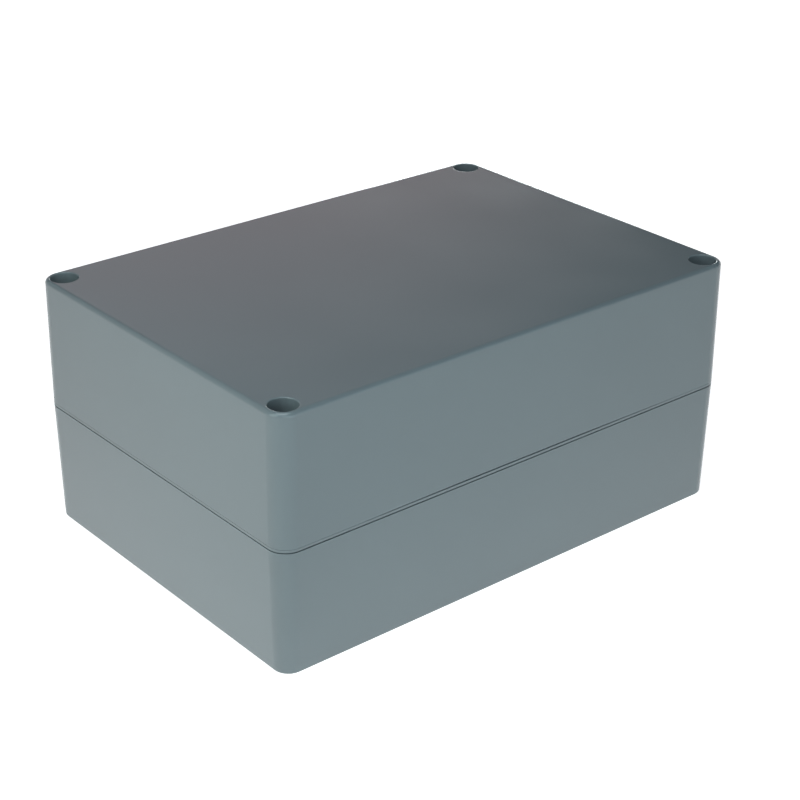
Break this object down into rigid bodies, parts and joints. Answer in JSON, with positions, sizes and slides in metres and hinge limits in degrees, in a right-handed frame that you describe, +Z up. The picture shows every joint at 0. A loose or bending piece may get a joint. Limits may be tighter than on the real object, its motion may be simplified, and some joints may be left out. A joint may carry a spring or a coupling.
{
  "type": "waterproof plastic enclosure",
  "caption": "Deep rectangular sealed plastic box: drafted base and tall lid meet at a gasketed mid-height seam, held by screws in deep corner wells.",
  "frame": {"origin": "centre of the underside", "axes": "+Z up through the lid, +X along the length"},
  "size_m": [0.171, 0.121, 0.08],
  "materials": {
    "shell": "satin moulded ABS",
    "gasket": "matt",
    "screws": "plain stainless",
    "inserts": "turned"
  },
  "bodies": {
    "base": {"base": "shell", "threaded_insert_front_left": "inserts", "threaded_insert_front_right": "inserts", "threaded_insert_rear_left": "inserts", "threaded_insert_rear_right": "inserts"},
    "lid": {"lid": "shell", "gasket": "gasket"},
    "screw_front_left": {"lid_screw_front_left": "screws"},
    "screw_front_right": {"lid_screw_front_right": "screws"},
    "screw_rear_left": {"lid_screw_rear_left": "screws"},
    "screw_rear_right": {"lid_screw_rear_right": "screws"}
  },
  "joints": [
    {"name": "lid_lift", "type": "slide", "parent": "base", "child": "lid", "axis": [0, 0, 1], "range_m": [0, 0.12]},
    {"name": "screw_front_left_turn", "type": "hinge", "parent": "lid", "child": "screw_front_left", "pos_m": [-0.0795, -0.0545, 0.044], "axis": [0, 0, 1], "continuous": true},
    {"name": "screw_front_right_turn", "type": "hinge", "parent": "lid", "child": "screw_front_right", "pos_m": [0.0795, -0.0545, 0.044], "axis": [0, 0, 1], "continuous": true},
    {"name": "screw_rear_left_turn", "type": "hinge", "parent": "lid", "child": "screw_rear_left", "pos_m": [-0.0795, 0.0545, 0.044], "axis": [0, 0, 1], "continuous": true},
    {"name": "screw_rear_right_turn", "type": "hinge", "parent": "lid", "child": "screw_rear_right", "pos_m": [0.0795, 0.0545, 0.044], "axis": [0, 0, 1], "continuous": true}
  ]
}
